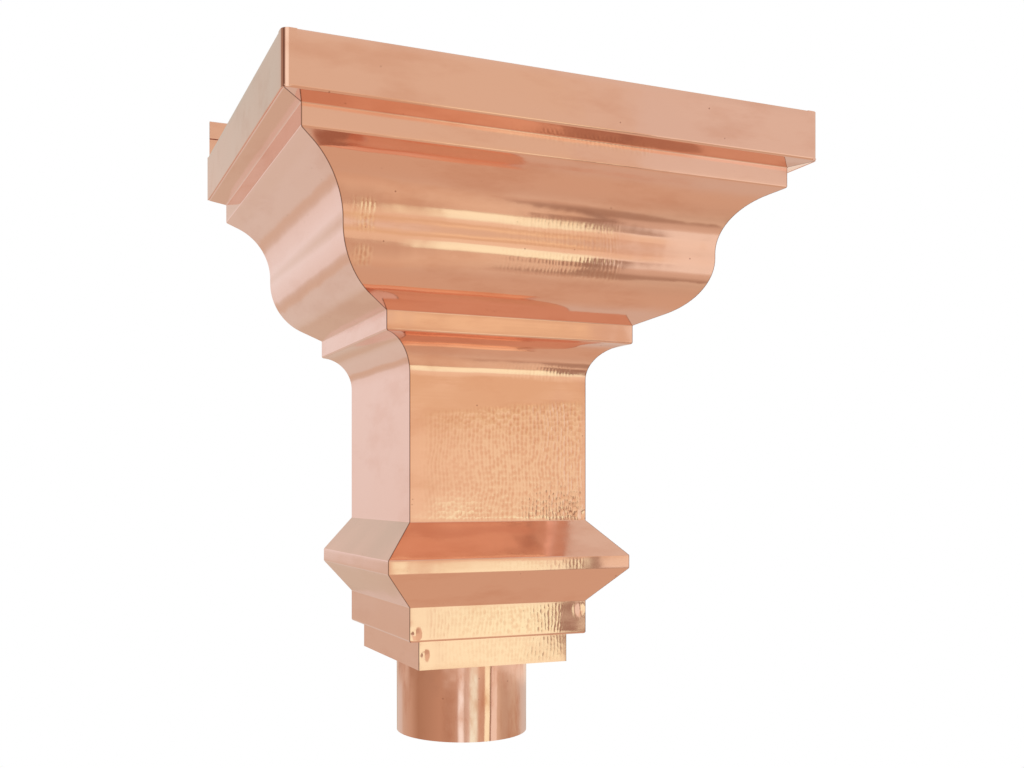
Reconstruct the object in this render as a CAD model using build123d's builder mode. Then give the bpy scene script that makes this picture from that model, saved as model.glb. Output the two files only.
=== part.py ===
"""Rainwater hopper: a wall-hung box gutter head folded and soldered from sheet copper.

Millimetres. The wall is the plane Y = 0 and the hopper projects towards -Y. X = 0 is the centre
line and Z = 0 is the rim. A profile point is (out, height): "out" is how far the outer surface
stands proud of the neck, the same on the front and on both sides.
"""

import os
from math import atan2, cos, hypot, pi, radians, tan

from build123d import *

# Sheet and bends
sheet = 0.7
bend_ratio = 1.2  # inside radius of a bend over the sheet's thickness
corner_radius = 4.5  # outside radius where the fascia turns the two front corners

# Plan of the neck, which the whole moulding is measured from
neck_width = 134.0
neck_depth = 137.5  # wall to the neck's front face

# How far each part of the moulding stands out from the neck
fascia_out = 112.5
upper_band_out = 98.5
bowl_out = 65.0
lower_band_out = 24.3
collar_out = 22.6
foot_in = 10.2

# Heights, from the rim down
fascia_height = 32.0
soffit_fall = 2.3
upper_band_height = 13.5
bowl_height = 85.9
lower_band_height = 13.0
cove_fall = 2.5
neck_height = 122.3  # from the cove's corner down to the collar
collar_slope_height = 24.2
collar_band_height = 9.2
foot_band_height = 23.7
foot_height = 20.8

# Curves of the bowl and of the cove under it
shoulder_slope = 22.0  # degrees, the flats at both ends of the bowl's curve
shoulder_flat = 8.4  # flat above the bowl's hollow
bowl_straight = 3.0  # upright between the hollow and the round
cove_flat = 1.5  # flat under the lower band, before the cove

# Rim fold and the back plate's fold above it
fold_gap = 0.6
rim_fold_depth = 10.0
rim_fold_notch = 4.0  # left plain beside each rounded corner
upstand_height = 27.2
upstand_fold_depth = 13.0

# Soldering tabs inside
tab_width = 8.0
tab_root = 1.5
kerf_radius = 3.2
side_flange_height = 10.0
side_flange_setback = 12.0
tray_flange_height = 8.0
tray_clearance = 1.5

# Outlet
outlet_margin = 7.8  # between the tube and the foot's sides, in plan
outlet_forward = 1.85  # outlet's centre in front of the foot's middle
outlet_length = 56.1  # below the foot
outlet_lip = 5.0
outlet_flare = 0.9  # slope between the tube and its lip
outlet_clearance = 0.15

# Fixing holes
fixing_spacing = 220.0
fixing_diameter = 6.0

# Worked out from the above
inside_bend = bend_ratio * sheet
outside_bend = inside_bend + sheet
fold_radius = (2 * sheet + fold_gap) / 2
neck_half = neck_width / 2
fascia_half = neck_half + fascia_out
fascia_depth = neck_depth + fascia_out
foot_half = neck_half - foot_in
foot_depth = neck_depth - foot_in

fascia_z = -fascia_height
soffit_z = fascia_z - soffit_fall
upper_band_z = soffit_z - upper_band_height
lower_band_top_z = upper_band_z - bowl_height
lower_band_z = lower_band_top_z - lower_band_height
cove_z = lower_band_z - cove_fall
collar_top_z = cove_z - neck_height
collar_band_z = collar_top_z - collar_slope_height
collar_edge_z = collar_band_z - collar_band_height
collar_foot_z = collar_edge_z - collar_slope_height
foot_band_z = collar_foot_z - foot_band_height
foot_z = foot_band_z - foot_height
outlet_z = foot_z - outlet_length
outlet_radius = foot_half - outlet_margin
outlet_axis_depth = foot_depth / 2 + outlet_forward

# The bowl's curve follows two corners, (bowl_out, hollow_z) and (bowl_out, round_z). An arc takes up
# its radius times the tangent of half its turn on each side of its corner.
slope = radians(shoulder_slope)
hollow_z = upper_band_z - (upper_band_out - bowl_out) * tan(slope)
round_z = lower_band_top_z + (bowl_out - lower_band_out) * tan(slope)
bowl_reach = tan((pi / 2 - slope) / 2)
shoulder_run = (upper_band_out - bowl_out) / cos(slope)
hollow_radius = (shoulder_run - shoulder_flat) / bowl_reach - outside_bend
round_radius = (hollow_z - round_z - bowl_straight) / bowl_reach - hollow_radius
cove_reach = tan((pi / 2 - atan2(cove_fall, lower_band_out)) / 2)
cove_radius = (hypot(cove_fall, lower_band_out) - cove_flat) / cove_reach - outside_bend

# The moulding below the fascia, as (out, height, radius of the outer surface)
moulding = [
    (upper_band_out, soffit_z, inside_bend),
    (upper_band_out, upper_band_z, outside_bend),
    (bowl_out, hollow_z, hollow_radius),
    (bowl_out, round_z, round_radius),
    (lower_band_out, lower_band_top_z, inside_bend),
    (lower_band_out, lower_band_z, outside_bend),
    (0, cove_z, cove_radius),
    (0, collar_top_z, inside_bend),
    (collar_out, collar_band_z, outside_bend),
    (collar_out, collar_edge_z, outside_bend),
    (0, collar_foot_z, inside_bend),
    (0, foot_band_z, outside_bend),
    (-foot_in, foot_band_z, inside_bend),
    (-foot_in, foot_z, 0),
]

# The front sheet's section starts above its fascia's bottom bend. A side sheet's starts at the top of
# the flange that stands inside the fascia, and turns into the same soffit.
side_out = fascia_out - sheet
side_corner_z = fascia_z - soffit_fall * sheet / (fascia_out - upper_band_out)
front_outline = [(fascia_out, fascia_z + outside_bend, 0), (fascia_out, fascia_z, outside_bend)]
side_outline = [(side_out, fascia_z + side_flange_height, 0), (side_out, side_corner_z, outside_bend)]


def profile_line(face, corners):
    """Outer line of a sheet in a vertical plane, with the neck's own face standing at -face."""
    points = [(-face - out, z) for out, z, radius in corners]
    return FilletPolyline(*points, radius=[radius for out, z, radius in corners[1:-1]])


def sheet_section(face, corners):
    """Section of a folded sheet, its thickness laid inwards from the outer line."""
    with BuildSketch() as section:
        with BuildLine():
            profile_line(face, corners)
            offset(amount=sheet, side=Side.LEFT)
        make_face()
    return section.sketch


def inner_strip(face, width):
    """Strip along the inside of the moulding, cut away at each bend and above the tray's flange."""
    sharp = [(out, z, radius if radius > outside_bend else 0) for out, z, radius in moulding]
    kerfs = [(-face - out, z) for out, z, radius in moulding if 0 < radius <= outside_bend]
    with BuildSketch() as strip:
        with BuildLine():
            profile_line(face, sharp)
            offset(amount=sheet + width, side=Side.LEFT)
        make_face()
        with BuildLine():
            profile_line(face, sharp)
            offset(amount=sheet, side=Side.LEFT)
        make_face(mode=Mode.SUBTRACT)
        with Locations(*kerfs):
            Circle(kerf_radius, mode=Mode.SUBTRACT)
        with Locations((-face + foot_in + sheet, foot_z)):
            Rectangle(3 * width, 2 * (tray_flange_height + tray_clearance), mode=Mode.SUBTRACT)
    return strip.sketch


def fold_section(face, top, depth, way):
    """Section of a sheet's edge rolled over and folded down, towards +1 or -1 along the section."""
    with BuildSketch() as section:
        with BuildLine():
            roll = JernArc((face, top - fold_radius), (0, 1), fold_radius, -180 * way)
            Line(roll @ 1, (face + 2 * fold_radius * way, top - depth))
            offset(amount=sheet, side=Side.RIGHT if way > 0 else Side.LEFT)
        make_face()
    return section.sketch


def mitre(side, shift=0.0):
    """Upright 45 degree plane through the moulding's corner, facing away from the front sheet."""
    return Plane((side * (neck_half - shift), -neck_depth, 0), x_dir=(0, 0, 1), z_dir=(side, 1, 0))


def wrap_outline(inset):
    """Plan of what the wrapped fascia encloses, drawn "inset" inside its outer face."""
    half = fascia_half - inset
    depth = fascia_depth - inset
    plan = [(-half, 0), (-half, -depth), (half, -depth), (half, 0)]
    with BuildSketch() as enclosed:
        with BuildLine():
            wrap = FilletPolyline(*plan, radius=corner_radius - inset)
            Line(wrap @ 0, wrap @ 1)
        make_face()
    return enclosed.sketch


# Sections and plans that several pieces share
front_section = sheet_section(neck_depth, front_outline + moulding)
side_section = sheet_section(neck_half, side_outline + moulding)
wrap_outer = wrap_outline(0)
wrap_inner = wrap_outline(sheet)
straight_half = fascia_half - corner_radius - rim_fold_notch
straight_depth = fascia_depth - corner_radius - rim_fold_notch

# Front: one sheet, with the fascia running on round both corners and back to the wall
with BuildPart() as front_panel:
    with BuildSketch(Plane.YZ):
        add(front_section)
    extrude(amount=fascia_half, both=True)
    split(bisect_by=mitre(-1), keep=Keep.BOTTOM)
    split(bisect_by=mitre(1), keep=Keep.BOTTOM)
    with BuildSketch(Plane.XY.offset(foot_z)):
        add(wrap_outer)
    extrude(amount=-foot_z, mode=Mode.INTERSECT)

    # The wrapped band, left open over the front's bottom bend and under the rim's folds
    with BuildSketch(Plane.XY.offset(fascia_z)):
        add(wrap_outer)
        add(wrap_inner, mode=Mode.SUBTRACT)
        with Locations((0, -fascia_depth)):
            Rectangle(2 * (fascia_half - corner_radius), 3 * sheet, mode=Mode.SUBTRACT)
    extrude(amount=outside_bend)
    with BuildSketch(Plane.XY.offset(fascia_z + outside_bend)):
        add(wrap_outer)
        add(wrap_inner, mode=Mode.SUBTRACT)
    extrude(amount=fascia_height - outside_bend - fold_radius)
    with BuildSketch(Plane.XY.offset(-fold_radius)):
        add(wrap_outer)
        add(wrap_inner, mode=Mode.SUBTRACT)
        with Locations((0, -fascia_depth)):
            Rectangle(2 * straight_half, 3 * sheet, mode=Mode.SUBTRACT)
        with Locations((-fascia_half, 0), (fascia_half, 0)):
            Rectangle(3 * sheet, 2 * straight_depth, mode=Mode.SUBTRACT)
    extrude(amount=fold_radius)

    # The rim's folds on the three straight runs
    with BuildSketch(Plane.YZ):
        add(fold_section(-fascia_depth, 0, rim_fold_depth, 1))
    extrude(amount=straight_half, both=True)
    with BuildSketch(Plane.XZ.offset(sheet + fold_gap)):
        add(fold_section(-fascia_half, 0, rim_fold_depth, 1))
        mirror(about=Plane.YZ)
    extrude(amount=straight_depth - sheet - fold_gap)
front_panel.part.label = "front_panel"

# Left side: the same moulding, with a flange up inside the fascia and soldering tabs behind the
# front sheet and against the back plate
with BuildPart() as left_mitre_tab:
    with BuildSketch(Plane.YZ):
        add(inner_strip(neck_depth, sheet))
    extrude(amount=-fascia_half)
    split(bisect_by=mitre(-1), keep=Keep.BOTTOM)
    split(bisect_by=mitre(-1, tab_width), keep=Keep.TOP)

with BuildPart() as left_tab_root:
    with BuildSketch(Plane.XZ):
        add(inner_strip(neck_half, sheet))
    extrude(amount=fascia_depth)
    split(bisect_by=mitre(-1), keep=Keep.TOP)
    split(bisect_by=mitre(-1, -tab_root), keep=Keep.BOTTOM)

with BuildPart() as left_side_panel:
    with BuildSketch(Plane.XZ):
        add(side_section)
    extrude(amount=fascia_depth)
    split(bisect_by=mitre(-1), keep=Keep.TOP)
    with BuildSketch(Plane.XY.offset(foot_z)):
        add(wrap_inner)
    extrude(amount=-foot_z, mode=Mode.INTERSECT)
    with BuildSketch(Plane.XY.offset(side_corner_z + outside_bend)):
        with Locations((-fascia_half, -fascia_depth)):
            Rectangle(6 * outside_bend, 2 * side_flange_setback)
    extrude(amount=side_flange_height, mode=Mode.SUBTRACT)
    add(left_mitre_tab.part)
    add(left_tab_root.part)
    with BuildSketch(Plane.XZ.offset(sheet)):
        add(inner_strip(neck_half, tab_width))
    extrude(amount=sheet)
left_side_panel.part.label = "left_side_panel"

# Right side: the left one mirrored
with BuildPart() as right_side_panel:
    mirror(left_side_panel.part, about=Plane.YZ)
right_side_panel.part.label = "right_side_panel"

# Back plate: fills the moulding's outline against the wall and stands up above the rim
plate_half = neck_half + side_out - sheet
plate_shoulder_z = side_outline[0][1]
with BuildPart() as back_plate:
    with BuildSketch(Plane.XZ):
        with BuildLine():
            edge = profile_line(neck_half, side_outline + moulding)
            Polyline(edge @ 0, (0, plate_shoulder_z), (0, foot_z), edge @ 1)
        make_face()
        add(side_section, mode=Mode.SUBTRACT)
        mirror(about=Plane.YZ)
        with Locations((0, plate_shoulder_z)):
            upright_height = upstand_height - fold_radius - plate_shoulder_z
            Rectangle(2 * plate_half, upright_height, align=(Align.CENTER, Align.MIN))
    extrude(amount=sheet)
    with BuildSketch(Plane.YZ):
        add(fold_section(0, upstand_height, upstand_fold_depth, -1))
    extrude(amount=plate_half, both=True)
    with Locations(Plane.XZ.offset(2 * fold_radius)):
        with Locations((0, upstand_height - upstand_fold_depth / 2)):
            with GridLocations(fixing_spacing, 0, 2, 1):
                Hole(fixing_diameter / 2)
back_plate.part.label = "back_plate"

# Base: a folded tray that closes the foot, with the outlet hole
with BuildPart() as base_plate:
    with BuildSketch(Plane.XY.offset(foot_z)):
        with Locations((0, -foot_depth / 2)):
            Rectangle(2 * (foot_half - sheet), foot_depth - 2 * sheet)
    extrude(amount=tray_flange_height)
    fillet(base_plate.edges().filter_by(Axis.Z), outside_bend)
    fillet(base_plate.faces().sort_by(Axis.Z)[0].edges(), outside_bend)
    offset(amount=-sheet, openings=base_plate.faces().sort_by(Axis.Z)[-1])
    with Locations((0, -outlet_axis_depth, foot_z)):
        Hole(outlet_radius + outlet_flare + outlet_clearance)
base_plate.part.label = "base_plate"

# Outlet: a tube hung in the tray by its lip, which is flared and then dressed out flat
lip_z = foot_z + sheet
tube_axis = Axis((0, -outlet_axis_depth, 0), (0, 0, 1))
with BuildPart() as outlet_tube:
    with BuildSketch(Plane((0, -outlet_axis_depth, 0), x_dir=(1, 0, 0), z_dir=(0, -1, 0))):
        with BuildLine():
            end = (outlet_radius, outlet_z)
            flare = [(outlet_radius, lip_z - outlet_flare), (outlet_radius + outlet_flare, lip_z)]
            Polyline(end, *flare, (outlet_radius + outlet_lip, lip_z))
            offset(amount=sheet, side=Side.LEFT, kind=Kind.INTERSECTION)
        make_face()
    revolve(axis=tube_axis)
outlet_tube.part.label = "outlet_tube"

os.makedirs("parts", exist_ok=True)
for piece in (front_panel, left_side_panel, right_side_panel, back_plate, base_plate, outlet_tube):
    export_step(piece.part, f"parts/{piece.part.label}.step")
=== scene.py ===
"""Rainwater hopper in bright new sheet copper, hung in a plain white studio.

Metres in Blender, and millimetres in the lists of sizes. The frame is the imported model's: the wall
is the plane Y = 0, the hopper projects towards -Y, and Z = 0 is the rim.
"""

from math import atan2, ceil, cos, exp, hypot, pi, radians, sin, tan

import bmesh
import bpy
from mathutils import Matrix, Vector, noise


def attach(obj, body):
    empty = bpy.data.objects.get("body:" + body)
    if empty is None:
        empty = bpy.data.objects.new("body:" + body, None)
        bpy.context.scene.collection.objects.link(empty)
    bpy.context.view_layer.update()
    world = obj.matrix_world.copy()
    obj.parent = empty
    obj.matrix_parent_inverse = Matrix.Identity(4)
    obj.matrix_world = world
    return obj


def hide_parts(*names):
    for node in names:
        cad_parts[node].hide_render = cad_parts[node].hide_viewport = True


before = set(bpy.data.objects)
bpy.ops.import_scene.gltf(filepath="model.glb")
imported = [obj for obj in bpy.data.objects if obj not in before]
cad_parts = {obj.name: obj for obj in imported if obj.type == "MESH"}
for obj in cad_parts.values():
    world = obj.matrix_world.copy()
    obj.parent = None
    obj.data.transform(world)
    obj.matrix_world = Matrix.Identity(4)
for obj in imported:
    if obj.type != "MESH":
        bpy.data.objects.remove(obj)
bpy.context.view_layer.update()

mm = 0.001

# Sizes of the sheets, in millimetres
sheet = 0.7
inside_bend = 0.84
outside_bend = 1.54
neck_half = 67.0
neck_depth = 137.5
fascia_out = 112.5
fascia_half = neck_half + fascia_out
fascia_depth = neck_depth + fascia_out
corner_radius = 4.5
corner_x = fascia_half - corner_radius
corner_y = -(fascia_depth - corner_radius)
fascia_z = -32.0
fold_radius = 1.0
fold_gap = 0.6
rim_fold_depth = 10.0
rim_fold_notch = 4.0
foot_z = -373.6
foot_inset = 10.2
tab_width = 8.0
kerf_radius = 3.2
tray_wall = 8.0
tray_gap = 9.5
outlet_radius = 49.0
outlet_y = -65.5
outlet_z = -429.7
lip_width = 5.0
lip_bend = 0.9
seam_gap = 0.12
bead_radius = 0.9
bead_lumps = 0.7
bead_seed = 4
sharp_fold = radians(32)

# How far in a sheet is held flat, in millimetres: from its mitre, from the wall and from its top
held_mitre = 14
held_wall = 10
held_front_top = 8
held_side_top = 20

# The moulding below the fascia: how far out, height, and radius of each bend
bowl_slope = radians(22)
hollow_z = -47.8 - 33.5 * tan(bowl_slope)
round_z = -133.7 + 40.7 * tan(bowl_slope)
bowl_reach = tan((pi / 2 - bowl_slope) / 2)
hollow_radius = (33.5 / cos(bowl_slope) - 8.4) / bowl_reach - outside_bend
round_radius = (hollow_z - round_z - 3.0) / bowl_reach - hollow_radius
cove_reach = tan((pi / 2 - atan2(2.5, 24.3)) / 2)
cove_radius = (hypot(2.5, 24.3) - 1.5) / cove_reach - outside_bend
moulding = [
    (98.5, -34.3, inside_bend),
    (98.5, -47.8, outside_bend),
    (65.0, hollow_z, hollow_radius),
    (65.0, round_z, round_radius),
    (24.3, -133.7, inside_bend),
    (24.3, -146.7, outside_bend),
    (0.0, -149.2, cove_radius),
    (0.0, -271.5, inside_bend),
    (22.6, -295.7, outside_bend),
    (22.6, -304.9, outside_bend),
    (0.0, -329.1, inside_bend),
    (0.0, -352.8, outside_bend),
    (-foot_inset, -352.8, inside_bend),
    (-foot_inset, foot_z, 0),
]
side_corner_z = fascia_z - 2.3 * sheet / 14.0
front_top = [(fascia_out, fascia_z + outside_bend, 0), (fascia_out, fascia_z, outside_bend)]
side_top = [(fascia_out - sheet, -22.0, 0), (fascia_out - sheet, side_corner_z, outside_bend)]

# Places on the front where something pressed a small dimple into the sheet: X, Z, radius, depth
dimples = [
    (-62.6, -347.2, 4.4, 0.42),
    (62.6, -335.4, 4.2, 0.34),
    (-52.6, -363.0, 3.8, 0.34),
    (63.6, -267.4, 3.4, 0.40),
]


def folded_line(corners, step):
    """Samples a line with rounded bends: how far out, height, outward direction, radius of the bend."""
    runs = []
    start = (corners[0][0], corners[0][1])
    for before, here, after in zip(corners, corners[1:], corners[2:]):
        a = Vector((here[0] - before[0], here[1] - before[1])).normalized()
        b = Vector((after[0] - here[0], after[1] - here[1])).normalized()
        turn = atan2(a.x * b.y - a.y * b.x, a.dot(b))
        reach = here[2] * tan(abs(turn) / 2)
        on = (here[0] - a.x * reach, here[1] - a.y * reach)
        runs.append((start, on, a, 0.0, 0.0))
        runs.append((on, None, a, turn, here[2]))
        start = (here[0] + b.x * reach, here[1] + b.y * reach)
        last = b
    runs.append((start, (corners[-1][0], corners[-1][1]), last, 0.0, 0.0))
    samples = []
    for begin, end, way, turn, radius in runs:
        if turn:
            count = max(4, ceil(abs(turn) / radians(5)), ceil(abs(turn) * radius / step))
            side = 1 if turn > 0 else -1
            centre = Vector(begin) + side * radius * Vector((-way.y, way.x))
            for i in range(count):
                angle = turn * i / count
                heading = Vector(
                    (way.x * cos(angle) - way.y * sin(angle), way.x * sin(angle) + way.y * cos(angle))
                )
                spot = centre - side * radius * Vector((-heading.y, heading.x))
                samples.append((spot.x, spot.y, Vector((-heading.y, heading.x)), radius))
        else:
            length = hypot(end[0] - begin[0], end[1] - begin[1])
            count = max(1, ceil(length / step))
            for i in range(count):
                x = begin[0] + (end[0] - begin[0]) * i / count
                y = begin[1] + (end[1] - begin[1]) * i / count
                samples.append((x, y, Vector((-way.y, way.x)), 0.0))
    end, way = runs[-1][1], runs[-1][2]
    samples.append((end[0], end[1], Vector((-way.y, way.x)), 0.0))
    return samples


def sag(across, down, seed):
    """How far a thin sheet lies in from flat, in millimetres: slow, shallow, and never proud."""
    slow = noise.noise(Vector((across / 55, down / 70, seed)))
    quick = noise.noise(Vector((across / 19, down / 34, seed + 7)))
    return 0.16 * (slow + 0.5) + 0.035 * (quick + 0.5)


def dimple_depth(x, z):
    """How far in the front is pressed at a place, with a low ring around each dimple."""
    depth = 0.0
    for dx, dz, radius, most in dimples:
        far = hypot(x - dx, z - dz) / radius
        if far < 2:
            depth += most * (exp(-3.2 * far**2) - 0.22 * exp(-14 * (far - 1.15) ** 2))
    return depth


def closed_sheet(outer, inner, skip):
    """Mesh of two skins of points, outer[row][column], with the inner one using every skip-th column."""
    mesh = bmesh.new()
    rows = len(outer)
    far = [[mesh.verts.new(p) for p in row] for row in outer]
    near = [[mesh.verts.new(p) for p in row[::skip]] for row in inner]
    last, end = len(far[0]) - 1, len(near[0]) - 1
    for r in range(rows - 1):
        for c in range(last):
            mesh.faces.new((far[r][c], far[r + 1][c], far[r + 1][c + 1], far[r][c + 1]))
        for c in range(end):
            mesh.faces.new((near[r][c], near[r][c + 1], near[r + 1][c + 1], near[r + 1][c]))
        mesh.faces.new((far[r][0], near[r][0], near[r + 1][0], far[r + 1][0]))
        mesh.faces.new((far[r][last], far[r + 1][last], near[r + 1][end], near[r][end]))
    for r in (0, rows - 1):
        for c in range(end):
            edge = far[r][c * skip : (c + 1) * skip + 1]
            mesh.faces.new(edge + [near[r][c + 1], near[r][c]])
    return mesh


def placed(name, data):
    """Puts a new object into the scene."""
    piece = bpy.data.objects.new(name, data)
    bpy.context.scene.collection.objects.link(piece)
    return piece


def finished(name, meshes, node):
    """Joins meshes in millimetres into one piece that stands for a node of the frame."""
    whole = bmesh.new()
    for part in meshes:
        bmesh.ops.recalc_face_normals(part, faces=part.faces)
        bmesh.ops.scale(part, vec=(mm, mm, mm), verts=part.verts)
        data = bpy.data.meshes.new("part")
        part.to_mesh(data)
        part.free()
        whole.from_mesh(data)
        bpy.data.meshes.remove(data)
    for face in whole.faces:
        face.smooth = True
    for edge in whole.edges:
        if len(edge.link_faces) == 2 and edge.calc_face_angle(0) > sharp_fold:
            edge.smooth = False
    data = bpy.data.meshes.new(name)
    whole.to_mesh(data)
    whole.free()
    piece = placed(name, data)
    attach(piece, "root")
    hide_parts(node)
    return piece


def columns(step, fine):
    """Places across a sheet from -1 to 1, closer together in its outer parts."""
    half = [0.0]
    while half[-1] < 0.80:
        half.append(half[-1] + step)
    while half[-1] < 1.0:
        half.append(half[-1] + fine)
    half = [h / half[-1] for h in half]
    return [-h for h in reversed(half[1:])] + half


def within_wrap(x, y, inset):
    """Moves a place on the front's corners in to where the fascia's bend encloses it."""
    radius = corner_radius - inset
    if abs(x) > corner_x and y < corner_y:
        away = Vector((abs(x) - corner_x, y - corner_y))
        if away.length > radius:
            away *= radius / away.length
            x = (corner_x + away.x) * (1 if x > 0 else -1)
            y = corner_y + away.y
    return x, y


def front_moulding():
    """The front below the fascia: one sheet folded along the moulding, cut to a mitre at both ends."""
    line = folded_line(front_top + moulding, 2.6)
    across = columns(0.021, 0.0125)
    outer, inner = [], []
    gone = 0.0
    for i, (out, z, normal, _) in enumerate(line):
        if i:
            gone += hypot(out - line[i - 1][0], z - line[i - 1][1])
        half = neck_half + out - seam_gap
        far, near = [], []
        for u in across:
            x = half * u
            edge = min(1.0, half * (1 - abs(u)) / held_mitre)
            top = min(1.0, gone / held_front_top)
            depth = sag(x, gone, 3.1) * edge * edge * (3 - 2 * edge) * top + dimple_depth(x, z)
            px, py = within_wrap(x, -(neck_depth + out) + normal.x * depth, 0.02)
            far.append((px, py, z - normal.y * depth))
            back_out, back_z = out - sheet * normal.x, z - sheet * normal.y
            px, py = within_wrap((neck_half + back_out - seam_gap) * u, -(neck_depth + back_out), sheet)
            near.append((px, py, back_z))
        outer.append(far)
        inner.append(near)
    return closed_sheet(outer, inner, 4)


def side_moulding(side):
    """One side, folded along the same moulding, from the wall to its mitre."""
    line = folded_line(side_top + moulding, 2.6)
    count = 64
    flange_end = fascia_depth - 12.0
    outer, inner = [], []
    gone = 0.0
    for i, (out, z, normal, _) in enumerate(line):
        if i:
            gone += hypot(out - line[i - 1][0], z - line[i - 1][1])
        # The top flange stops short of the rounded corner
        reach = neck_depth + out - seam_gap
        back_out, back_z = out - sheet * normal.x, z - sheet * normal.y
        back_reach = neck_depth + back_out - seam_gap
        if z > side_corner_z + outside_bend:
            reach = back_reach = flange_end
        far, near = [], []
        for j in range(count + 1):
            v = j / count
            y = -reach * v
            edge = min(1.0, reach * (1 - v) / held_mitre) * min(1.0, reach * v / held_wall)
            top = min(1.0, gone / held_side_top)
            depth = sag(y, gone, 9.7 * side) * edge * edge * (3 - 2 * edge) * top
            px, py = within_wrap(neck_half + out - normal.x * depth, y, sheet)
            far.append((side * px, py, z - normal.y * depth))
            px, py = within_wrap(neck_half + back_out, -back_reach * v, 2 * sheet)
            near.append((side * px, py, back_z))
        outer.append(far)
        inner.append(near)
    return closed_sheet(outer, inner, 4)


def tab_runs():
    """Stretches of the moulding between its tight bends, each cut back by the kerf there."""
    line = folded_line([(fascia_out - sheet, side_corner_z, 0)] + moulding, 4.0)
    cuts = [(out, z) for out, z, radius in moulding if 0 < radius <= outside_bend]
    runs, run = [], []
    for out, z, normal, radius in line:
        clear = all(hypot(out - a, z - b) > kerf_radius for a, b in cuts)
        if clear and radius not in (inside_bend, outside_bend) and z > foot_z + tray_gap:
            run.append((out, z, normal))
        elif run:
            runs.append(run)
            run = []
    return [run for run in runs + [run] if len(run) > 1]


def strip(run, place, depths, widths):
    """Closed strip along a run: depths behind the outer line, and widths across it."""
    outer = [[place(out - depths[0] * n.x, z - depths[0] * n.y, w) for w in widths] for out, z, n in run]
    inner = [[place(out - depths[1] * n.x, z - depths[1] * n.y, w) for w in widths] for out, z, n in run]
    return closed_sheet(outer, inner, 1)


def side_tabs(side):
    """Soldering tabs bent in from a side's edges: behind the front, and on the back plate."""
    tab_start = 0.4
    meshes = []

    def behind_front(out, z, w):
        return (side * (neck_half + out - w), -(neck_depth + out), z)

    def on_back(out, z, w):
        return (side * (neck_half + out), -w, z)

    for run in tab_runs():
        meshes.append(strip(run, behind_front, (sheet, 2 * sheet), (tab_start, tab_width)))
        meshes.append(strip(run, on_back, (sheet, sheet + tab_width), (sheet, 2 * sheet)))
    return meshes


def fascia_section(bottom, folded):
    """Section of the fascia from its lower edge up and over the rim: how far in, and height."""
    face = [(0.0, bottom + (-fold_radius - bottom) * i / 8) for i in range(8)]
    if not folded:
        burr = 0.05
        edge = [(0.0, -fold_radius), (0.0, -burr), (burr, 0.0), (sheet - burr, 0.0), (sheet, -burr)]
        return face + edge + [(sheet, bottom)]
    turns = [pi * i / 8 for i in range(9)]
    inside = fold_radius - sheet
    over = [(fold_radius - fold_radius * cos(a), -fold_radius + fold_radius * sin(a)) for a in turns]
    ends = [(2 * fold_radius, -rim_fold_depth), (2 * fold_radius - sheet, -rim_fold_depth)]
    back = [(fold_radius - inside * cos(a), -fold_radius + inside * sin(a)) for a in reversed(turns)]
    return face + over + ends + back + [(sheet, bottom)]


def swept_fascia(places, bottom, folded):
    """Carries the section along places, each a point, its inward direction and how far it may sag."""
    shape = fascia_section(bottom, folded)
    mesh = bmesh.new()
    rings = []
    for x, y, ix, iy, slack in places:
        ring = []
        for n, (inward, z) in enumerate(shape):
            depth = sag(x + y, z, 5.5) * slack * sin(pi * min(1.0, n / 8)) if n < 9 else 0.0
            ring.append(mesh.verts.new((x + ix * (inward + depth), y + iy * (inward + depth), z)))
        rings.append(ring)
    for a, b in zip(rings, rings[1:]):
        for n in range(len(shape)):
            m = (n + 1) % len(shape)
            mesh.faces.new((a[n], a[m], b[m], b[n]))
    mesh.faces.new(rings[0])
    mesh.faces.new(list(reversed(rings[-1])))
    return mesh


def straight_fascia(a, b, inward, bottom, folded):
    """One straight run of the fascia from a to b, held flat at both ends."""
    steps = max(1, ceil(hypot(b[0] - a[0], b[1] - a[1]) / 6))
    places = []
    for i in range(steps + 1):
        t = i / steps
        slack = min(1.0, 8 * t, 8 * (1 - t))
        places.append((a[0] + (b[0] - a[0]) * t, a[1] + (b[1] - a[1]) * t, *inward, slack))
    return swept_fascia(places, bottom, folded)


def wrapped_fascia():
    """The fascia's band, folded over at the rim on its straight runs only."""
    front_end = corner_x - rim_fold_notch
    side_end = -corner_y - rim_fold_notch
    low = fascia_z + outside_bend
    start = sheet + fold_gap
    meshes = [straight_fascia((-front_end, -fascia_depth), (front_end, -fascia_depth), (0, 1), low, True)]
    for side in (-1, 1):
        x = side * fascia_half
        corner = [(x, -side_end, -side, 0, 0.0)]
        for i in range(13):
            angle = pi / 2 * i / 12
            ix, iy = -side * cos(angle), sin(angle)
            corner.append((side * corner_x - corner_radius * ix, corner_y - corner_radius * iy, ix, iy, 0.0))
        meshes += [
            straight_fascia((x, 0), (x, -start), (-side, 0), fascia_z, False),
            straight_fascia((x, -start), (x, -side_end), (-side, 0), fascia_z, True),
            swept_fascia(corner, fascia_z, False),
            straight_fascia(
                (side * corner_x, -fascia_depth), (side * front_end, -fascia_depth), (0, 1), low, False
            ),
        ]
    return meshes


front_sheet = finished("front_sheet", [front_moulding()] + wrapped_fascia(), "front_panel")
left_sheet = finished("left_sheet", [side_moulding(-1)] + side_tabs(-1), "left_side_panel")
right_sheet = finished("right_sheet", [side_moulding(1)] + side_tabs(1), "right_side_panel")


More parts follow.
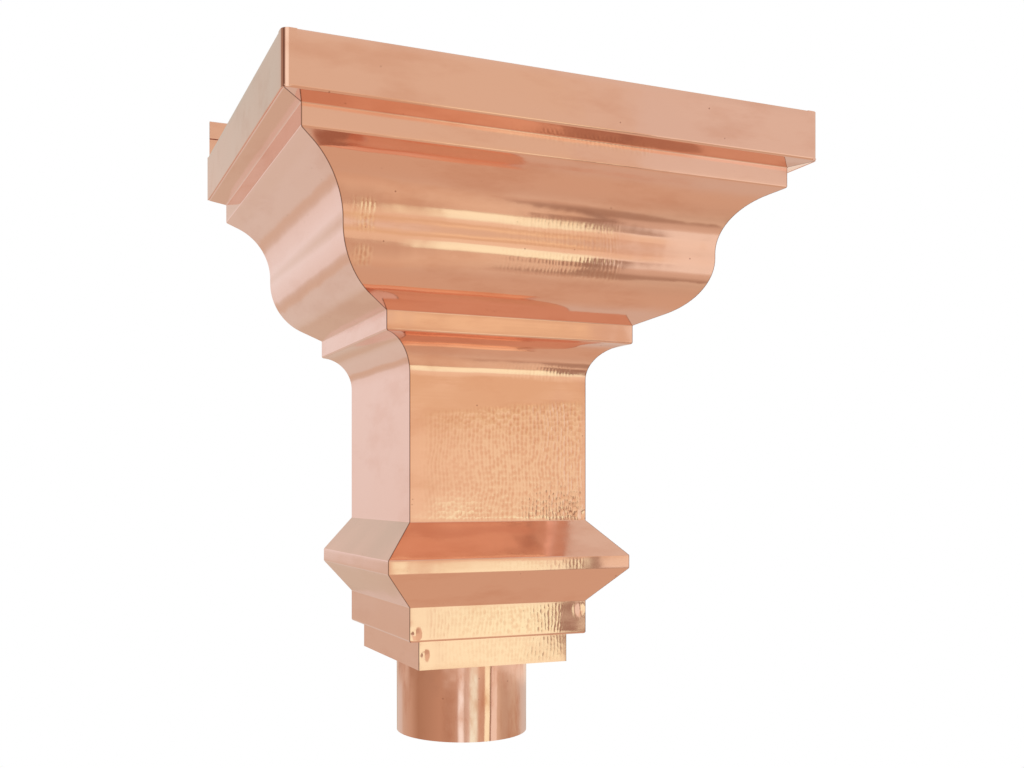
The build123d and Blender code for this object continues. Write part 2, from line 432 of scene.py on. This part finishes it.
def outlet_pipe():
    """The outlet: a rolled tube with a lip turned out in the tray."""
    lip_z = foot_z + sheet
    inset = sheet * tan(pi / 8)
    wall = [
        (outlet_radius, outlet_z),
        (outlet_radius, lip_z - lip_bend),
        (outlet_radius + lip_bend, lip_z),
        (outlet_radius + lip_width, lip_z),
        (outlet_radius + lip_width, lip_z + sheet),
        (outlet_radius + lip_bend - inset, lip_z + sheet),
        (outlet_radius - sheet, lip_z - lip_bend + inset),
        (outlet_radius - sheet, outlet_z),
    ]
    shape = []
    for a, b in zip(wall, wall[1:] + wall[:1]):
        steps = max(1, ceil(abs(b[1] - a[1]) / 7))
        shape += [(a[0] + (b[0] - a[0]) * i / steps, a[1] + (b[1] - a[1]) * i / steps) for i in range(steps)]
    mesh = bmesh.new()
    rings = []
    turns = 144
    # A rolled tube is never quite round: up to 0.2 mm in, less near the lip
    uneven = 0.10
    true_near_lip = 20
    for k in range(turns):
        angle = 2 * pi * k / turns
        ring = []
        for r, z in shape:
            low = min(1.0, (lip_z - z) / true_near_lip)
            out_of_round = uneven * noise.noise(Vector((3 * cos(angle), 3 * sin(angle), z / 40))) - uneven
            r += out_of_round * max(0.0, low)
            ring.append(mesh.verts.new((r * sin(angle), outlet_y - r * cos(angle), z)))
        rings.append(ring)
    for a, b in zip(rings, rings[1:] + rings[:1]):
        for n in range(len(shape)):
            m = (n + 1) % len(shape)
            mesh.faces.new((a[n], a[m], b[m], b[n]))
    return mesh


outlet = finished("outlet_pipe", [outlet_pipe()], "outlet_tube")

# Where the folding machine chattered, which gives a relief and a painted highlight on its ridges, in
# millimetres: X from and to, Z from and to, how much, and how far the upper limit climbs per millimetre
# to the right
chatter_places = [
    (-67, 64, -271, -192, 1.10, 0.09),
    (-62, 47, -351, -331, 0.80, 0),
    (-50, 54, -372, -354, 0.50, 0),
    (-40, 56, -94, -76, 0.36, 0),
    (-40, 58, -112, -97, 0.36, 0),
    (-129, -113, -94, -74, 0.90, 0),
    (-127, -114, -114, -102, 0.90, 0),
    (-25, 52, -304, -297, 0.40, 0),
    (-60, 60, -39, -33, 0.35, 0),
    (-10, 56, -172, -162, 0.35, 0),
]


def rise(value, low, high):
    """Climbs smoothly from 0 at low to 1 at high."""
    t = max(0.0, min(1.0, (value - low) / (high - low)))
    return t * t * (3 - 2 * t)


for piece, chattered in ((front_sheet, chatter_places), (left_sheet, []), (right_sheet, [])):
    much = piece.data.attributes.new("chatter", "FLOAT", "POINT")
    for v in piece.data.vertices:
        x, y, z = v.co / mm
        for x0, x1, z0, z1, most, climb in chattered:
            width = x1 - x0
            across = rise(x, x0, x0 + 0.15 * width) * rise(-x, -x1 - 3, -x1 + 3)
            across *= 0.28 + 0.72 * rise(x, x0, x0 + 0.65 * width)
            top = z1 + climb * x
            up = rise(z, z0 - 1.5, z0 + 2.5) * rise(-z, -top - 1.0, -top + 1.5)
            much.data[v.index].value = max(much.data[v.index].value, most * across * up)


def linear(colour):
    """Linear colour of an sRGB hex value such as "#c8794f"."""
    parts = [int(colour[i : i + 2], 16) / 255 for i in (1, 3, 5)]
    return [p / 12.92 if p <= 0.04045 else ((p + 0.055) / 1.055) ** 2.4 for p in parts] + [1.0]


def add(tree, kind, inputs=None, **settings):
    """Adds a node, with its settings, and each of its inputs set or linked by name or number."""
    node = tree.nodes.new(kind)
    for name, value in settings.items():
        setattr(node, name, value)
    for name, value in (inputs or {}).items():
        if isinstance(value, bpy.types.NodeSocket):
            tree.links.new(value, node.inputs[name])
        else:
            node.inputs[name].default_value = value
    return node


def bare_tree(holder):
    """Turns on the nodes of a material or a world and takes out the ones that come with it."""
    holder.use_nodes = True
    holder.node_tree.nodes.clear()
    return holder.node_tree


def rolling(tree, place, rolled):
    """What the rolls leave along the axis they ran on: fine lines, and bands of different polish."""
    # Roll lines about 1 mm apart, real ones being finer, and some 90 mm long
    stretched = add(
        tree, "ShaderNodeMapping", {"Vector": place, "Scale": [11 if n == rolled else 900 for n in "XYZ"]}
    ).outputs[0]
    lines = add(tree, "ShaderNodeTexNoise", {"Vector": stretched, "Scale": 1.0, "Detail": 3.0}).outputs[0]
    # Bands about 8 mm apart
    banded = add(
        tree, "ShaderNodeMapping", {"Vector": place, "Scale": [5 if n == rolled else 120 for n in "XYZ"]}
    ).outputs[0]
    bands = add(tree, "ShaderNodeTexNoise", {"Vector": banded, "Scale": 1.0, "Detail": 4.0}).outputs[0]
    return lines, bands


def tarnish_clouds(tree, place, rolled, most):
    """Light tarnish in clouds, 80 mm along the rolling and 30 mm across it."""
    drawn_out = add(
        tree, "ShaderNodeMapping", {"Vector": place, "Scale": [12 if n == rolled else 36 for n in "XYZ"]}
    ).outputs[0]
    clouds = add(
        tree,
        "ShaderNodeTexNoise",
        {"Vector": drawn_out, "Scale": 1.0, "Detail": 5.0, "Roughness": 0.6},
    ).outputs[0]
    return add(
        tree,
        "ShaderNodeMapRange",
        {0: clouds, 1: 0.48, 2: 0.70, 3: 0.0, 4: most},
        interpolation_type="SMOOTHSTEP",
    ).outputs[0]


def specks(tree, place):
    """Specks up to 1 mm across, about one in each 40 mm square."""
    cells = add(tree, "ShaderNodeTexVoronoi", {"Vector": place, "Scale": 170.0})
    chosen = add(tree, "ShaderNodeSeparateColor", {0: cells.outputs["Color"]}).outputs[0]
    chosen = add(tree, "ShaderNodeMath", {0: chosen, 1: 0.9}, operation="GREATER_THAN").outputs[0]
    speck = add(tree, "ShaderNodeMapRange", {0: cells.outputs["Distance"], 1: 0.12, 2: 0.03}).outputs[0]
    return add(tree, "ShaderNodeMath", {0: speck, 1: chosen}, operation="MULTIPLY").outputs[0]


def mitre_heat(tree, place):
    """Where the heat from soldering darkened the last half millimetre along each mitre."""
    axes = add(tree, "ShaderNodeSeparateXYZ", {0: place})
    apart = add(tree, "ShaderNodeMath", {0: axes.outputs[0]}, operation="ABSOLUTE").outputs[0]
    apart = add(tree, "ShaderNodeMath", {0: apart, 1: axes.outputs[1]}, operation="ADD").outputs[0]
    shift = (neck_depth - neck_half) * mm
    apart = add(tree, "ShaderNodeMath", {0: apart, 1: shift}, operation="ADD").outputs[0]
    apart = add(tree, "ShaderNodeMath", {0: apart}, operation="ABSOLUTE").outputs[0]
    return add(tree, "ShaderNodeMapRange", {0: apart, 1: 0.75 * mm, 2: 0.30 * mm}).outputs[0]


def folding_chatter(tree, place):
    """Chatter of the folding machine: waves and flat scales, both 3 mm apart."""
    waves = add(
        tree,
        "ShaderNodeTexWave",
        {"Vector": place, "Scale": 112.0, "Distortion": 9.0, "Detail": 1.0, "Detail Scale": 0.30},
        bands_direction="X",
    ).outputs["Fac"]
    pressed = add(tree, "ShaderNodeMapping", {"Vector": place, "Scale": (0.80, 1.0, 0.70)}).outputs[0]
    scales = add(
        tree, "ShaderNodeTexVoronoi", {"Vector": pressed, "Scale": 400.0, "Randomness": 0.7}
    ).outputs["Distance"]
    waves = add(tree, "ShaderNodeMath", {0: waves, 1: 0.35}, operation="MULTIPLY").outputs[0]
    return add(tree, "ShaderNodeMath", {0: scales, 1: 0.95, 2: waves}, operation="MULTIPLY_ADD").outputs[0]


def bright_copper(name, rolled, roughness, stain, folded):
    """Cold rolled copper sheet, cut and folded but never polished: close to a mirror.

    It is pink by itself and turns orange where it mirrors itself. The rolls leave faint lines, the
    thin sheet wavers between its bends, and handling leaves specks and a light tarnish. Folded
    sheets also carry the heat of their soldered mitres and the chatter of the folding machine, with
    a painted highlight on the chatter's ridges and painted shade in its hollows.
    """
    material = bpy.data.materials.new(name)
    tree = bare_tree(material)
    place = add(tree, "ShaderNodeTexCoord").outputs["Object"]
    lines, bands = rolling(tree, place, rolled)
    tarnish = tarnish_clouds(tree, place, rolled, stain)
    # The sheet's own waver, 40 mm and 12 mm across
    waver = add(tree, "ShaderNodeTexNoise", {"Vector": place, "Scale": 25.0, "Detail": 0.0}).outputs[0]
    ripple = add(tree, "ShaderNodeTexNoise", {"Vector": place, "Scale": 85.0, "Detail": 1.0}).outputs[0]
    reliefs = [(waver, 0.45), (ripple, 0.05), (lines, 0.006)]

    colour = add(
        tree,
        "ShaderNodeMix",
        {0: tarnish, 6: linear("#fad1c3"), 7: linear("#dd9c7f")},
        data_type="RGBA",
    ).outputs[2]
    marks = add(tree, "ShaderNodeMath", {0: specks(tree, place), 1: 0.75}, operation="MULTIPLY").outputs[0]
    colour = add(
        tree, "ShaderNodeMix", {0: marks, 6: colour, 7: linear("#8f5640")}, data_type="RGBA"
    ).outputs[2]
    if folded:
        # Painted highlight and shade: the chatter's ridges are painted bright and its hollows dull, only
        # where the piece carries it
        much = add(tree, "ShaderNodeAttribute", attribute_name="chatter").outputs["Fac"]
        chatter = folding_chatter(tree, place)
        ridges = add(tree, "ShaderNodeMapRange", {0: chatter, 1: 0.35, 2: 0.85}).outputs[0]
        # Painted highlight colour for the chatter's ridges, and painted shade colour for its hollows
        painted_ridge_highlight = add(
            tree, "ShaderNodeMix", {0: ridges, 6: linear("#e9b79f"), 7: linear("#ffe2ce")}, data_type="RGBA"
        ).outputs[2]
        covered = add(tree, "ShaderNodeMapRange", {0: much, 1: 0.0, 2: 1.0, 3: 0.0, 4: 0.62}).outputs[0]
        colour = add(tree, "ShaderNodeMix", {0: covered, 6: colour, 7: painted_ridge_highlight}, data_type="RGBA").outputs[2]
        height = add(tree, "ShaderNodeMath", {0: chatter, 1: much}, operation="MULTIPLY").outputs[0]
        reliefs.append((height, 0.065))
        heat = mitre_heat(tree, place)
        heat = add(tree, "ShaderNodeMath", {0: heat, 1: 0.65}, operation="MULTIPLY").outputs[0]
        colour = add(
            tree, "ShaderNodeMix", {0: heat, 6: colour, 7: linear("#6b3a2a")}, data_type="RGBA"
        ).outputs[2]
    rough = add(
        tree, "ShaderNodeMapRange", {0: bands, 1: 0.3, 2: 0.7, 3: roughness * 0.75, 4: roughness * 1.3}
    ).outputs[0]
    rough = add(tree, "ShaderNodeMath", {0: tarnish, 1: 0.10, 2: rough}, operation="MULTIPLY_ADD").outputs[0]

    # Each relief lies on the one before it, with its depth in millimetres
    below = {}
    for height, depth in reliefs:
        relief = {"Height": height, "Distance": depth * mm, "Strength": 1.0, **below}
        below = {"Normal": add(tree, "ShaderNodeBump", relief).outputs[0]}
    shader = add(
        tree,
        "ShaderNodeBsdfPrincipled",
        {"Base Color": colour, "Metallic": 1.0, "Roughness": rough, **below},
    )
    add(tree, "ShaderNodeOutputMaterial", {"Surface": shader.outputs[0]})
    return material


front_copper = bright_copper("bright_rolled_copper_front", "X", 0.085, 0.28, True)
side_copper = bright_copper("bright_rolled_copper_sides", "Y", 0.10, 0.20, True)
wall_copper = bright_copper("bright_rolled_copper_back", "X", 0.10, 0.30, False)
pipe_copper = bright_copper("bright_drawn_copper_outlet", "Z", 0.075, 0.95, False)
front_sheet.data.materials.append(front_copper)
left_sheet.data.materials.append(side_copper)
right_sheet.data.materials.append(side_copper)
outlet.data.materials.append(pipe_copper)
for name in ("back_plate", "base_plate"):
    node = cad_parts[name]
    node.data.materials.clear()
    node.data.materials.append(wall_copper)


def tones(tree, turned, stops, low, high):
    """The studio's tones, where 0 to 1 is turned from low to high in degrees.

    Each stop is an angle and the light from there as linear red, green and blue, 1 being white paper.
    """
    node = add(tree, "ShaderNodeValToRGB", {0: turned})
    colours = node.color_ramp
    for element, (angle, colour) in zip(colours.elements, (stops[0], stops[-1])):
        element.position = (angle - low) / (high - low)
        element.color = (*colour, 1)
    for angle, colour in stops[1:-1]:
        colours.elements.new((angle - low) / (high - low)).color = (*colour, 1)
    return node.outputs[0]


# Studio: white tent above, a warm bench below, and soft lamps, as the sheets mirror them
behind_left = [
    (-90, (0.60, 0.44, 0.32)),
    (-64, (0.63, 0.48, 0.35)),
    (-50, (0.72, 0.65, 0.57)),
    (-12, (0.68, 0.55, 0.44)),
    (-7, (0.66, 0.53, 0.42)),
    (-4.3, (0.68, 0.57, 0.48)),
    (-2.5, (0.81, 0.75, 0.71)),
    (9, (0.86, 0.82, 0.80)),
    (14, (0.72, 0.63, 0.55)),
    (20, (0.61, 0.60, 0.53)),
    (90, (0.75, 0.72, 0.70)),
]
at_left = [
    (-90, (0.66, 0.45, 0.30)),
    (-20, (0.50, 0.32, 0.21)),
    (0, (0.40, 0.26, 0.18)),
    (30, (0.34, 0.22, 0.16)),
    (90, (0.75, 0.72, 0.70)),
]
lamp_left = [
    (-90, (0.66, 0.45, 0.30)),
    (-20, (0.62, 0.42, 0.30)),
    (0, (1.00, 0.96, 0.82)),
    (30, (1.00, 0.96, 0.82)),
    (90, (0.80, 0.75, 0.70)),
]
in_front = [
    (-90, (0.66, 0.45, 0.30)),
    (-40, (0.66, 0.44, 0.29)),
    (-25, (0.56, 0.40, 0.28)),
    (-21, (0.40, 0.26, 0.18)),
    (-17, (0.40, 0.26, 0.18)),
    (-15.3, (1.05, 1.10, 0.78)),
    (-11, (1.08, 1.14, 0.82)),
    (-3, (1.02, 1.08, 0.78)),
    (-1.8, (0.90, 0.73, 0.52)),
    (3.9, (0.89, 0.72, 0.50)),
    (4.6, (0.79, 0.59, 0.37)),
    (7.4, (0.78, 0.57, 0.36)),
    (8.4, (0.93, 0.73, 0.46)),
    (9.8, (0.93, 0.73, 0.46)),
    (11, (0.78, 0.60, 0.41)),
    (19, (0.74, 0.60, 0.45)),
    (90, (0.80, 0.75, 0.70)),
]
beside_lamp = [
    (-90, (0.66, 0.45, 0.30)),
    (-40, (0.66, 0.44, 0.29)),
    (-16, (0.74, 0.54, 0.37)),
    (0, (0.84, 0.66, 0.46)),
    (5, (0.78, 0.58, 0.36)),
    (10, (0.80, 0.62, 0.44)),
    (12.5, (0.85, 0.71, 0.56)),
    (15, (0.76, 0.61, 0.46)),
    (19, (0.74, 0.60, 0.45)),
    (90, (0.80, 0.75, 0.70)),
]
lamp_side = [
    (-90, (0.66, 0.45, 0.30)),
    (-40, (0.66, 0.46, 0.31)),
    (-25, (0.56, 0.40, 0.28)),
    (-21, (0.36, 0.23, 0.16)),
    (-7.4, (0.38, 0.24, 0.17)),
    (-5.8, (0.92, 0.80, 0.64)),
    (-2, (0.86, 0.69, 0.49)),
    (3.9, (0.86, 0.67, 0.47)),
    (4.6, (0.73, 0.53, 0.36)),
    (7.4, (0.72, 0.52, 0.36)),
    (19, (0.74, 0.61, 0.48)),
    (90, (0.80, 0.75, 0.70)),
]
at_right = [
    (-90, (0.66, 0.45, 0.30)),
    (-42, (0.66, 0.48, 0.34)),
    (-37, (0.44, 0.30, 0.21)),
    (-30, (0.44, 0.30, 0.21)),
    (-26, (0.64, 0.48, 0.35)),
    (-19, (0.72, 0.56, 0.42)),
    (-16, (0.90, 0.82, 0.69)),
    (5, (0.92, 0.82, 0.68)),
    (12, (0.88, 0.78, 0.64)),
    (14.5, (0.78, 0.68, 0.57)),
    (19, (0.74, 0.64, 0.54)),
    (90, (0.72, 0.62, 0.50)),
]
# The bench and what stands on it, all the way round, as the outlet and the undersides mirror it
bench = [
    (-180, (0.68, 0.60, 0.51)),
    (-175, (0.71, 0.65, 0.58)),
    (-154, (0.70, 0.64, 0.57)),
    (-146, (0.63, 0.50, 0.39)),
    (-122, (0.58, 0.41, 0.29)),
    (-104, (0.44, 0.27, 0.17)),
    (-60, (0.55, 0.35, 0.23)),
    (-46, (0.50, 0.31, 0.20)),
    (-34, (0.56, 0.37, 0.25)),
    (-29, (0.60, 0.44, 0.33)),
    (-26, (1.02, 1.08, 1.03)),
    (-20, (1.00, 1.06, 1.00)),
    (-17, (0.62, 0.50, 0.39)),
    (-10, (0.78, 0.70, 0.60)),
    (-7, (0.98, 1.18, 1.00)),
    (3, (0.95, 1.12, 0.94)),
    (8, (0.70, 0.53, 0.39)),
    (18, (0.62, 0.43, 0.29)),
    (24, (0.80, 0.62, 0.43)),
    (34, (0.78, 0.64, 0.46)),
    (40, (0.74, 0.60, 0.44)),
    (52, (0.58, 0.44, 0.31)),
    (64, (0.56, 0.42, 0.30)),
    (85, (0.64, 0.53, 0.39)),
    (115, (0.67, 0.62, 0.55)),
    (165, (0.66, 0.57, 0.48)),
    (172, (0.63, 0.51, 0.40)),
    (177, (0.63, 0.51, 0.40)),
    (180, (0.68, 0.60, 0.51)),
]
world = bpy.data.worlds.new("studio")
tree = bare_tree(world)
direction = add(tree, "ShaderNodeTexCoord").outputs["Generated"]
split = add(tree, "ShaderNodeSeparateXYZ", {0: direction})
height = add(tree, "ShaderNodeMath", {0: split.outputs[2]}, operation="ARCSINE").outputs[0]
elevation = add(tree, "ShaderNodeMapRange", {0: height, 1: -pi / 2, 2: pi / 2}).outputs[0]
back = add(tree, "ShaderNodeMath", {0: split.outputs[1], 1: -1.0}, operation="MULTIPLY").outputs[0]
turn = add(tree, "ShaderNodeMath", {0: split.outputs[0], 1: back}, operation="ARCTAN2").outputs[0]
round_about = add(tree, "ShaderNodeMapRange", {0: turn, 1: -pi, 2: pi}).outputs[0]


def passed(value, begin, end):
    """How far an angle has passed, smoothly, from one limit to the other, both in degrees."""
    return add(
        tree,
        "ShaderNodeMapRange",
        {0: value, 1: radians(begin), 2: radians(end)},
        interpolation_type="SMOOTHSTEP",
    ).outputs[0]


# Each sky takes over from the last one between two bearings, 0 being straight in front
sky = tones(tree, elevation, behind_left, -90, 90)
for begin, end, stops in (
    (-135, -122, at_left),
    (-62, -46, lamp_left),
    (-12, 2, beside_lamp),
    (18, 20.5, in_front),
    (28.2, 29.0, lamp_side),
    (31.2, 31.9, at_right),
    (130, 160, behind_left),
):
    next_sky = tones(tree, elevation, stops, -90, 90)
    sky = add(
        tree, "ShaderNodeMix", {0: passed(turn, begin, end), 6: sky, 7: next_sky}, data_type="RGBA"
    ).outputs[2]
# The bench's edge is lower under the lamp, in three steps to the right, up to the lamp's far end
edge = height
far_end = passed(turn, 38, 43)
for begin, end, drop in ((18, 20.5, 6.3), (27.2, 28.5, 8.0), (31.2, 31.9, 20.0)):
    step = passed(turn, begin, end)
    step = add(tree, "ShaderNodeMath", {0: step, 1: far_end}, operation="SUBTRACT").outputs[0]
    edge = add(
        tree, "ShaderNodeMath", {0: step, 1: radians(drop), 2: edge}, operation="MULTIPLY_ADD"
    ).outputs[0]
below = passed(edge, -9.2, -10.6)
under = passed(height, -62, -26)
below = add(tree, "ShaderNodeMath", {0: below, 1: under}, operation="MULTIPLY").outputs[0]
bench_top = tones(tree, round_about, bench, -180, 180)
sky = add(tree, "ShaderNodeMix", {0: below, 6: sky, 7: bench_top}, data_type="RGBA").outputs[2]
# The camera itself sees plain white
seen = add(tree, "ShaderNodeLightPath").outputs["Is Camera Ray"]
sky = add(tree, "ShaderNodeMix", {0: seen, 6: sky, 7: (1, 1, 1, 1)}, data_type="RGBA").outputs[2]
background = add(tree, "ShaderNodeBackground", {"Color": sky})
add(tree, "ShaderNodeOutputWorld", {"Surface": background.outputs[0]})
bpy.context.scene.world = world
bpy.context.scene.view_settings.view_transform = "Standard"


def solder_tree(material):
    """Lays a lumpy bead of solder along every edge of a mesh."""
    tree = bpy.data.node_groups.new("solder_bead", "GeometryNodeTree")
    tree.interface.new_socket("Path", in_out="INPUT", socket_type="NodeSocketGeometry")
    for title, kind, value in (
        ("Radius", "Float", bead_radius * mm),
        ("Lumps", "Float", bead_lumps * mm),
        ("Seed", "Int", bead_seed),
    ):
        socket = tree.interface.new_socket(title, in_out="INPUT", socket_type="NodeSocket" + kind)
        socket.default_value = value
    tree.interface.new_socket("Bead", in_out="OUTPUT", socket_type="NodeSocketGeometry")
    given = add(tree, "NodeGroupInput").outputs
    line = add(tree, "GeometryNodeMeshToCurve", {0: given["Path"]}).outputs[0]
    line = add(
        tree, "GeometryNodeResampleCurve", {"Curve": line, "Length": 1.5 * mm}, mode="LENGTH"
    ).outputs[0]
    ring = add(
        tree, "GeometryNodeCurvePrimitiveCircle", {"Resolution": 8, "Radius": given["Radius"]}
    ).outputs[0]
    bead = add(tree, "GeometryNodeCurveToMesh", {0: line, 1: ring, "Fill Caps": True}).outputs[0]
    # Lumps 4 mm apart
    lumps = add(
        tree,
        "ShaderNodeTexNoise",
        {"W": given["Seed"], "Scale": 260.0, "Detail": 1.0},
        noise_dimensions="4D",
    ).outputs[0]
    lumps = add(tree, "ShaderNodeMath", {0: lumps, 1: 0.5}, operation="SUBTRACT").outputs[0]
    lumps = add(tree, "ShaderNodeMath", {0: lumps, 1: given["Lumps"]}, operation="MULTIPLY").outputs[0]
    normal = add(tree, "GeometryNodeInputNormal").outputs[0]
    push = add(tree, "ShaderNodeVectorMath", {0: normal, "Scale": lumps}, operation="SCALE").outputs[0]
    bead = add(tree, "GeometryNodeSetPosition", {"Geometry": bead, "Offset": push}).outputs[0]
    bead = add(tree, "GeometryNodeSetShadeSmooth", {0: bead}).outputs[0]
    bead = add(tree, "GeometryNodeRealizeInstances", {0: bead}).outputs[0]
    bead = add(tree, "GeometryNodeSetMaterial", {"Geometry": bead, "Material": material}).outputs[0]
    add(tree, "NodeGroupOutput", {0: bead})
    return tree


def wiped_solder():
    """Tin and lead solder, wiped while soft: grey, dull and slightly grainy."""
    material = bpy.data.materials.new("wiped_solder")
    tree = bare_tree(material)
    place = add(tree, "ShaderNodeTexCoord").outputs["Object"]
    # Grain about 2 mm across
    grain = add(tree, "ShaderNodeTexNoise", {"Vector": place, "Scale": 500.0, "Detail": 3.0}).outputs[0]
    colour = add(
        tree, "ShaderNodeMix", {0: grain, 6: linear("#8f8d88"), 7: linear("#c4c1ba")}, data_type="RGBA"
    ).outputs[2]
    rough = add(tree, "ShaderNodeMapRange", {0: grain, 1: 0.3, 2: 0.7, 3: 0.32, 4: 0.5}).outputs[0]
    bump = add(tree, "ShaderNodeBump", {"Height": grain, "Distance": 0.05 * mm}).outputs[0]
    shader = add(
        tree,
        "ShaderNodeBsdfPrincipled",
        {"Base Color": colour, "Metallic": 1.0, "Roughness": rough, "Normal": bump},
    )
    add(tree, "ShaderNodeOutputMaterial", {"Surface": shader.outputs[0]})
    return material


def solder_lines():
    """Where solder was run inside, in millimetres: tabs on both mitres and the back, lip and tray."""
    behind_tab = 1.6
    behind_sheet = 1.2
    behind_wall = 1.1
    behind_plate = 1.8
    clear = 0.1
    lines = []
    line = [(out, z, n) for out, z, n, _ in folded_line(moulding, 4.0) if z > foot_z + tray_gap]
    for side in (-1, 1):
        mitre = []
        wall = []
        for out, z, n in line:
            y = -(neck_depth + out - behind_tab * n.x)
            mitre.append((side * (neck_half + out - tab_width), y, z - behind_tab * n.y))
            x = side * (neck_half + out - behind_sheet * n.x)
            wall.append((x, -behind_sheet, z - behind_sheet * n.y))
        lines += [mitre, wall]
    turns = [2 * pi * k / 60 for k in range(61)]
    lip = outlet_radius + lip_width + clear
    lines.append([(lip * sin(a), outlet_y + lip * cos(a), foot_z + sheet + 2 * clear) for a in turns])
    inside = foot_inset + behind_wall
    x, near, far = neck_half - inside, -behind_plate, -(neck_depth - inside)
    top = foot_z + tray_wall
    lines.append([(-x, near, top), (-x, far, top), (x, far, top), (x, near, top)])
    return lines


paths = bpy.data.meshes.new("paths")
points, edges = [], []
for run in solder_lines():
    edges += [(len(points) + i, len(points) + i + 1) for i in range(len(run) - 1)]
    points += [Vector(p) * mm for p in run]
paths.from_pydata(points, edges, [])
host = placed("paths", paths)
modifier = host.modifiers.new("solder", "NODES")
modifier.node_group = solder_tree(wiped_solder())
names = {item.name: item.identifier for item in modifier.node_group.interface.items_tree}
modifier[names["Radius"]] = bead_radius * mm
modifier[names["Lumps"]] = bead_lumps * mm
modifier[names["Seed"]] = bead_seed
laid = host.evaluated_get(bpy.context.evaluated_depsgraph_get())
beads = placed("solder_beads", bpy.data.meshes.new_from_object(laid))
host.modifiers.remove(modifier)
bpy.data.objects.remove(host)
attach(beads, "root")

# Pale paper floor, far enough down to leave the underside in view. It turns to the tent's white far out
floor_z = -0.9
floor = placed("floor", bpy.data.meshes.new("floor"))
mesh = bmesh.new()
bmesh.ops.create_circle(mesh, cap_ends=True, radius=6.0, segments=64)
bmesh.ops.translate(mesh, vec=(0, 0, floor_z), verts=mesh.verts)
mesh.to_mesh(floor.data)
mesh.free()
pale = bpy.data.materials.new("pale_paper_floor")
tree = bare_tree(pale)
place = add(tree, "ShaderNodeTexCoord").outputs["Object"]
centre = add(tree, "ShaderNodeMapping", {"Vector": place, "Location": (0, 0, -floor_z)}).outputs[0]
away = add(tree, "ShaderNodeVectorMath", {0: centre}, operation="LENGTH").outputs["Value"]
fade = add(tree, "ShaderNodeMapRange", {0: away, 1: 0.3, 2: 1.3, 3: 0.35, 4: 1.0}).outputs[0]
paper = add(tree, "ShaderNodeBsdfDiffuse", {"Color": linear("#f4f2ef")}).outputs[0]
glow = add(tree, "ShaderNodeEmission", {"Color": linear("#ffffff"), "Strength": 1.0}).outputs[0]
both = add(tree, "ShaderNodeMixShader", {0: fade, 1: paper, 2: glow}).outputs[0]
add(tree, "ShaderNodeOutputMaterial", {"Surface": both})
floor.data.materials.append(pale)
floor.visible_glossy = False

# A dark stand beside the lamp, which only the copper sees
stand_radius = 0.012
stand_height = 0.18
stand_top = (0.325, -0.653, -0.265)
stand = placed("lamp_stand", bpy.data.meshes.new("lamp_stand"))
mesh = bmesh.new()
bmesh.ops.create_cone(
    mesh, cap_ends=True, segments=32, radius1=stand_radius, radius2=stand_radius, depth=stand_height
)
stand_middle = Vector(stand_top) - Vector((0, 0, stand_height / 2))
bmesh.ops.translate(mesh, vec=stand_middle, verts=mesh.verts)
mesh.to_mesh(stand.data)
mesh.free()
dark = bpy.data.materials.new("dark_stand")
tree = bare_tree(dark)
shade = add(tree, "ShaderNodeEmission", {"Color": linear("#a28673")})
add(tree, "ShaderNodeOutputMaterial", {"Surface": shade.outputs[0]})
stand.data.materials.append(dark)
stand.visible_camera = False
stand.visible_diffuse = False
stand.visible_shadow = False

# Camera, level and low at the left, with its picture shifted as the photograph's is
camera = placed("camera", bpy.data.cameras.new("camera"))
camera.location = (-0.3098, -0.8255, -0.2495)
camera.rotation_euler = (radians(90), 0, radians(-21.78))
camera.data.lens = 38.10
camera.data.sensor_width = 36.0
camera.data.shift_x = 0.0567
camera.data.shift_y = 0.1031
bpy.context.scene.camera = camera
